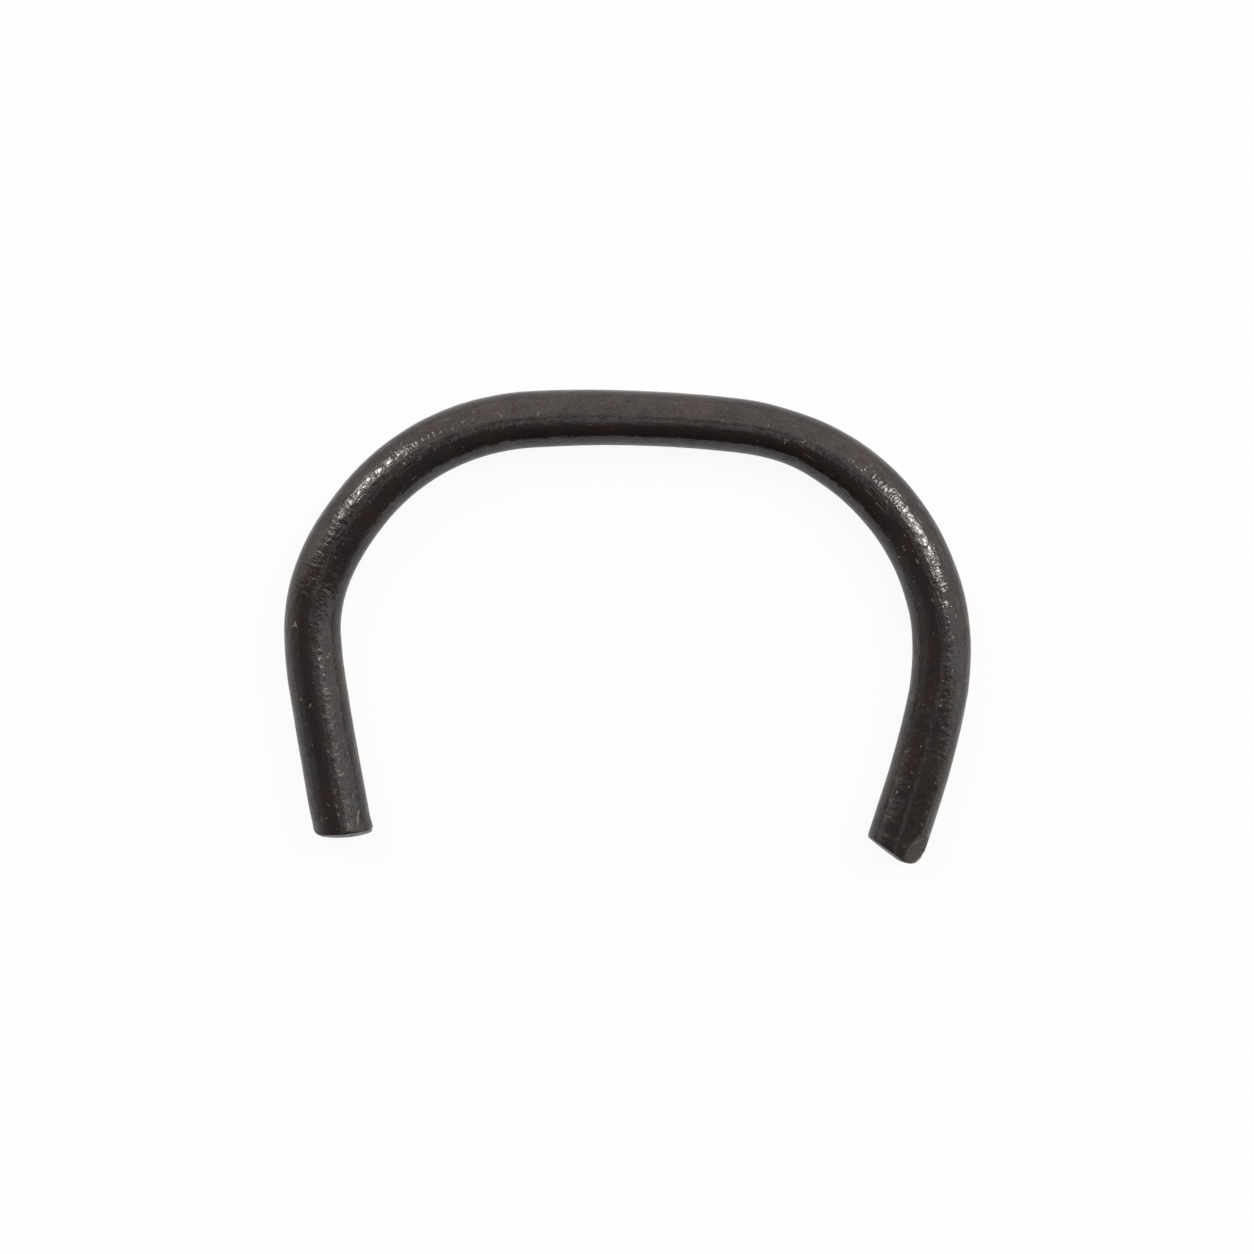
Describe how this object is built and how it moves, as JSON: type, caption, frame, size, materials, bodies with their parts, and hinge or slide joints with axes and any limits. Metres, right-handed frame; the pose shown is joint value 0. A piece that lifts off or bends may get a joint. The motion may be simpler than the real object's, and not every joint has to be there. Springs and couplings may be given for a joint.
{
  "type": "axle circlip",
  "caption": "Open snap ring bent from round spring wire, with a shallow crown, rounded shoulders and legs drawn in to grip the groove near the end of an axle shaft.",
  "frame": {"origin": "on the shaft's axis, at the middle plane of the wire", "axes": "+Z along the shaft's axis and square to the ring, +Y from the mouth between the legs to the crown, +X across the ring towards the shorter leg"},
  "size_m": [0.0243, 0.0165, 0.002],
  "materials": {
    "spring_steel": "dark oxide, oiled, semi-gloss"
  },
  "bodies": {
    "root": {"circlip": "spring_steel"}
  },
  "joints": []
}
